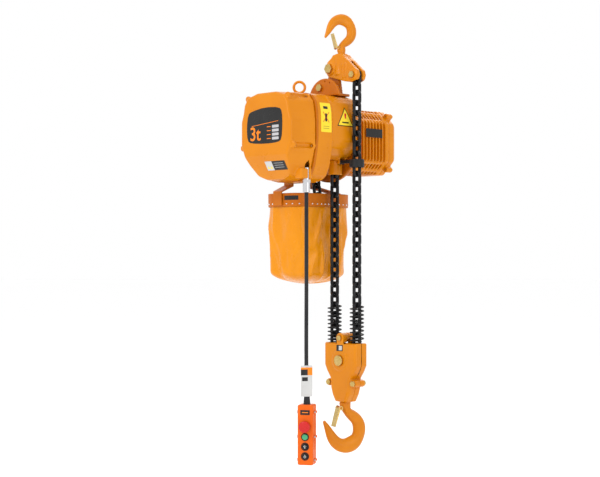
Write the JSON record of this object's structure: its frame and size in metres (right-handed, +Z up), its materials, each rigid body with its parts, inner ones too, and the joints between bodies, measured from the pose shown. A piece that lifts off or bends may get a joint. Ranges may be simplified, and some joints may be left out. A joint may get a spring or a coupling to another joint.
{
  "type": "electric chain hoist",
  "caption": "Hook-suspended electric chain hoist with two falls of load chain, a swivel load hook in a sheave block, a chain bag and a hanging push-button pendant.",
  "frame": {"origin": "saddle of the top hook, where it hangs from its support", "axes": "+Z up, +X along the motor shaft from the control cover to the motor, dead fall of chain on the -Y side"},
  "size_m": [0.482, 0.3161, 1.3318],
  "materials": {
    "orange_paint": "glossy enamel",
    "orange_paint_dark": "glossy enamel, cast",
    "hook_paint": "enamel over a forging",
    "gold_zinc": "yellow zinc plate",
    "black_chain": "blackened steel, oiled",
    "black_steel": "black coated spring steel",
    "steel": "machined",
    "gear_steel": "hardened, oiled",
    "chrome": "nickel plated",
    "black_plastic": "moulded",
    "pendant_orange": "moulded",
    "red_plastic": "moulded",
    "green_plastic": "moulded",
    "cable_rubber": "smooth sheath",
    "bag_fabric": "coated fabric, glossy",
    "rim_fabric": "coated webbing",
    "copper": "enamelled winding",
    "lining": "friction lining"
  },
  "bodies": {
    "top_hook": {"top_hook": "hook_paint", "top_hook_nut": "steel"},
    "top_latch": {"top_latch": "gold_zinc"},
    "hoist": {"upper_block_front": "orange_paint", "upper_block_rear": "orange_paint", "suspension_pin": "gold_zinc", "anchor_pin": "gold_zinc", "suspension_bracket": "orange_paint_dark", "bracket_bolts": "gold_zinc", "control_cover": "orange_paint", "cover_screws": "gold_zinc", "gear_cover_plate": "orange_paint_dark", "gear_case": "orange_paint", "sheave_case": "orange_paint", "chain_guide": "orange_paint", "eye_bolt": "orange_paint", "contactor": "black_plastic", "transformer": "copper", "motor_flange": "orange_paint_dark", "motor_frame": "orange_paint", "motor_end_cap": "orange_paint", "motor_screws": "gold_zinc", "stator": "copper", "brake_coil": "black_steel", "chain_bag": "bag_fabric", "bag_rim": "rim_fabric", "bag_hanger": "orange_paint_dark", "cable_gland": "chrome", "load_chain_hoist_part": "black_chain"},
    "rotor": {"motor_shaft": "steel", "rotor_core": "steel", "brake_disc": "lining"},
    "countershaft_1": {"countershaft_1": "gear_steel", "gear_1": "gear_steel"},
    "countershaft_2": {"countershaft_2": "gear_steel", "gear_2": "gear_steel"},
    "load_sheave": {"load_sheave": "gear_steel", "main_gear": "gear_steel"},
    "brake_armature": {"brake_armature": "steel"},
    "limit_lever": {"limit_lever": "black_plastic"},
    "hook_block": {"block_front": "orange_paint", "block_rear": "orange_paint", "block_axle": "gold_zinc", "block_bolts": "gold_zinc", "block_springs": "black_steel", "load_chain_block_part": "black_chain"},
    "block_sheave": {"block_sheave": "gear_steel"},
    "bottom_hook": {"bottom_hook": "hook_paint", "bottom_hook_nut": "steel"},
    "bottom_latch": {"bottom_latch": "gold_zinc"},
    "pendant": {"pendant_front": "pendant_orange", "pendant_rear": "pendant_orange", "pendant_screws": "steel", "contact_blocks": "black_plastic", "pendant_boot": "cable_rubber", "pendant_cable": "cable_rubber"},
    "estop": {"estop_button": "red_plastic"},
    "start": {"start_button": "green_plastic"},
    "up": {"up_button": "black_plastic"},
    "down": {"down_button": "black_plastic"}
  },
  "joints": [
    {"name": "hoist_swivel", "type": "hinge", "parent": "top_hook", "child": "hoist", "pos_m": [0, 0, -0.1], "axis": [0, 0, 1], "continuous": true},
    {"name": "top_latch_hinge", "type": "hinge", "parent": "top_hook", "child": "top_latch", "pos_m": [-0.01525, 0.00525, -0.06825], "axis": [0.3256, 0.9455, 0], "range_deg": [-30, 0], "stiffness_Nm_per_rad": 0.05, "springref_deg": 22.92},
    {"name": "rotor_spin", "type": "hinge", "parent": "hoist", "child": "rotor", "pos_m": [0, 0.07484, -0.343], "axis": [1, 0, 0], "range_deg": [0, 55296], "deforming": ["load_chain_hoist_part", "load_chain_block_part"]},
    {"name": "countershaft_1_spin", "type": "hinge", "parent": "hoist", "child": "countershaft_1", "pos_m": [0, 0.0464, -0.39226], "axis": [1, 0, 0], "range_deg": [-13826, 2]},
    {"name": "countershaft_2_spin", "type": "hinge", "parent": "hoist", "child": "countershaft_2", "pos_m": [0, 0.10328, -0.39226], "axis": [1, 0, 0], "range_deg": [-2, 3458]},
    {"name": "load_sheave_spin", "type": "hinge", "parent": "hoist", "child": "load_sheave", "pos_m": [0, 0.07484, -0.343], "axis": [1, 0, 0], "range_deg": [-865, 1]},
    {"name": "block_lift", "type": "slide", "parent": "hoist", "child": "hook_block", "axis": [0, 0, 1], "range_m": [-0.0005, 0.3605]},
    {"name": "block_sheave_spin", "type": "hinge", "parent": "hook_block", "child": "block_sheave", "pos_m": [0, -0.0175, -1.003], "axis": [1, 0, 0], "range_deg": [-1, 433]},
    {"name": "brake_release", "type": "slide", "parent": "hoist", "child": "brake_armature", "axis": [-1, 0, 0], "range_m": [0, 0.0006], "stiffness_N_per_m": 20000, "springref_m": -0.001},
    {"name": "limit_lever_tilt", "type": "hinge", "parent": "hoist", "child": "limit_lever", "pos_m": [0, 0, -0.411], "axis": [1, 0, 0], "range_deg": [-10, 0]},
    {"name": "load_hook_swivel", "type": "hinge", "parent": "hook_block", "child": "bottom_hook", "pos_m": [0, -0.0175, -1.1], "axis": [0, 0, 1], "continuous": true},
    {"name": "load_latch_hinge", "type": "hinge", "parent": "bottom_hook", "child": "bottom_latch", "pos_m": [-0.02033, -0.0105, -1.145], "axis": [0.3256, 0.9455, 0], "range_deg": [0, 30], "stiffness_Nm_per_rad": 0.1, "springref_deg": -22.92},
    {"name": "pendant_swing", "type": "hinge", "parent": "hoist", "child": "pendant", "pos_m": [-0.165, -0.0185, -0.5], "axis": [1, 0, 0], "range_deg": [-12, 8]},
    {"name": "estop_press", "type": "slide", "parent": "pendant", "child": "estop", "axis": [0.848, 0.53, 0], "range_m": [0, 0.003], "stiffness_N_per_m": 600, "springref_m": -0.004},
    {"name": "start_press", "type": "slide", "parent": "pendant", "child": "start", "axis": [0.848, 0.53, 0], "range_m": [0, 0.003], "stiffness_N_per_m": 600, "springref_m": -0.004},
    {"name": "up_press", "type": "slide", "parent": "pendant", "child": "up", "axis": [0.848, 0.53, 0], "range_m": [0, 0.003], "stiffness_N_per_m": 600, "springref_m": -0.004},
    {"name": "down_press", "type": "slide", "parent": "pendant", "child": "down", "axis": [0.848, 0.53, 0], "range_m": [0, 0.003], "stiffness_N_per_m": 600, "springref_m": -0.004}
  ],
  "couplings": [
    {"joint": "countershaft_1_spin", "follows": "rotor_spin", "ratio": -0.25},
    {"joint": "countershaft_2_spin", "follows": "rotor_spin", "ratio": 0.0625},
    {"joint": "load_sheave_spin", "follows": "rotor_spin", "ratio": -0.015625},
    {"joint": "block_lift", "follows": "rotor_spin", "m_per_rad": 0.00037302},
    {"joint": "block_sheave_spin", "follows": "rotor_spin", "ratio": 0.0078125}
  ]
}
